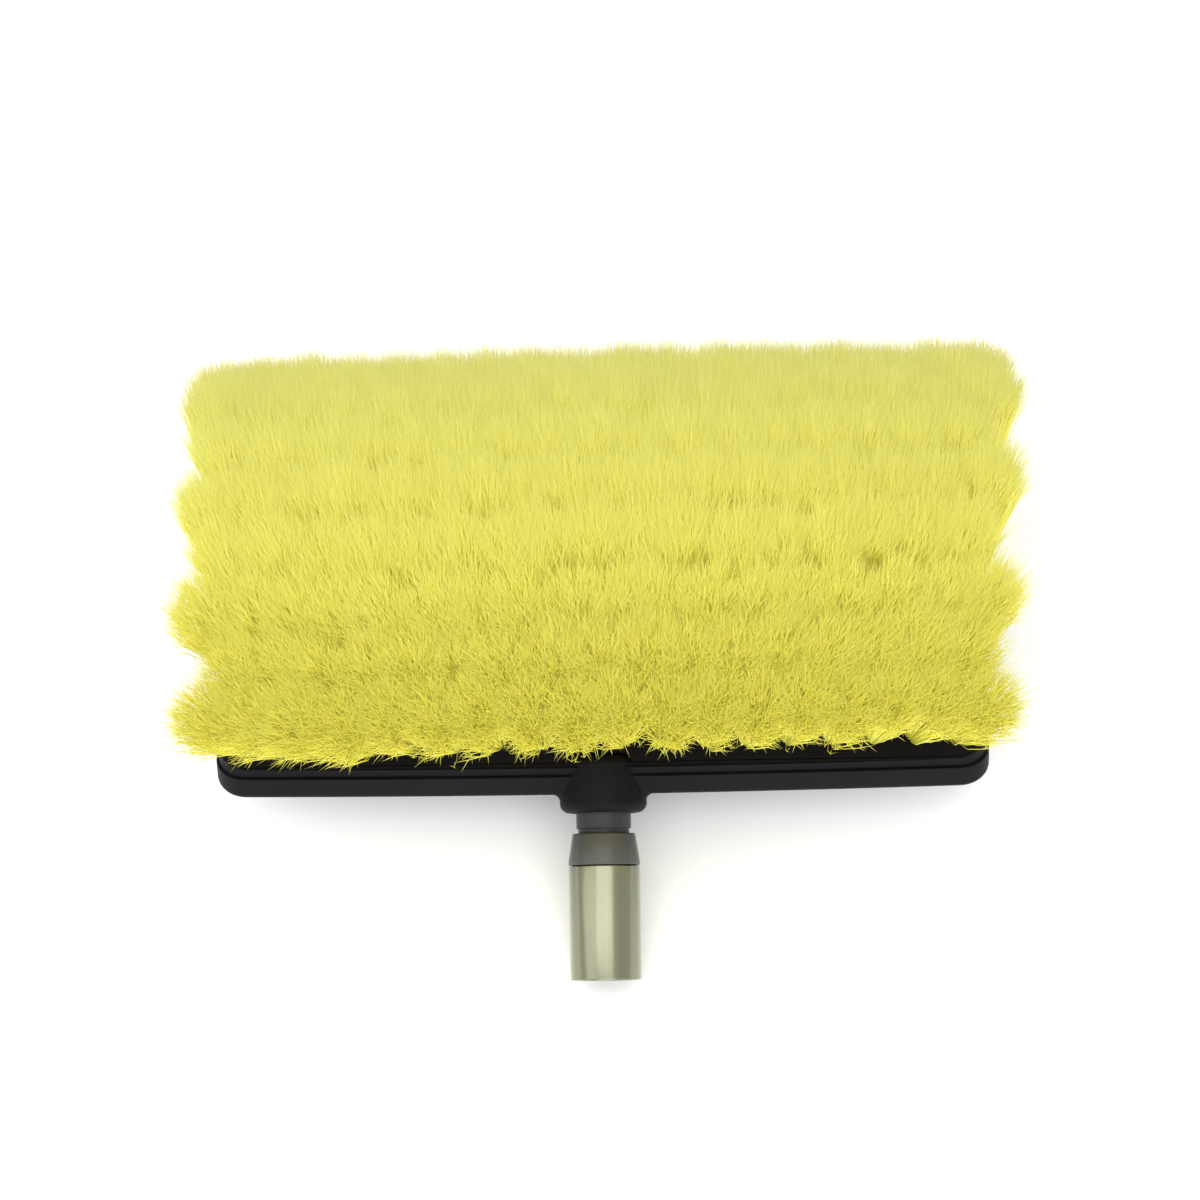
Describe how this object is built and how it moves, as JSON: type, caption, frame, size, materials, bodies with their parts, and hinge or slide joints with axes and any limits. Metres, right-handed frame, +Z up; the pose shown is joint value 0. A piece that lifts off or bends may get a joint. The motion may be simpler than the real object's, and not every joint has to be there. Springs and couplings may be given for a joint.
{
  "type": "car wash brush",
  "caption": "Flow-through car wash brush: a wide moulded head with a fan of soft bristle tufts, on a metal pole whose threaded tip screws into the head's angled socket.",
  "frame": {"origin": "centre of the bounding box's bottom, on the surface that the brush lies on", "axes": "+X along the head's length; +Y from the pole's open end toward the head's far edge; +Z up, out of the bristles"},
  "size_m": [0.2726, 0.2178, 0.1199],
  "materials": {
    "shell_plastic": "moulded black, satin",
    "plate_plastic": "moulded black, satin",
    "bristle_fibre": "soft flagged fibre, yellow",
    "screw_steel": "plain steel",
    "seal_rubber": "matt black",
    "tip_plastic": "moulded dark grey, glossy",
    "tube_metal": "polished, drawn lengthwise"
  },
  "bodies": {
    "head": {"back_shell": "shell_plastic", "tuft_plate": "plate_plastic", "chamber_gasket": "seal_rubber", "bristles_front": "bristle_fibre", "bristles_centre": "bristle_fibre", "bristles_rear": "bristle_fibre", "plate_screw_1": "screw_steel", "plate_screw_2": "screw_steel", "plate_screw_3": "screw_steel", "plate_screw_4": "screw_steel", "plate_screw_5": "screw_steel", "plate_screw_6": "screw_steel"},
    "washer": {"thread_washer": "seal_rubber"},
    "pole": {"threaded_tip": "tip_plastic", "tip_seal": "seal_rubber", "pole_tube": "tube_metal"}
  },
  "joints": [
    {"name": "thread_travel", "type": "slide", "parent": "head", "child": "washer", "axis": [0, -0.9302, -0.3671], "range_m": [0, 0.0121]},
    {"name": "pole_turn", "type": "hinge", "parent": "washer", "child": "pole", "pos_m": [0, -0.05347, 0.03109], "axis": [0, -0.9302, -0.3671], "range_deg": [0, 1080]}
  ],
  "couplings": [
    {"joint": "thread_travel", "follows": "pole_turn", "m_per_rad": 0.00063662}
  ]
}
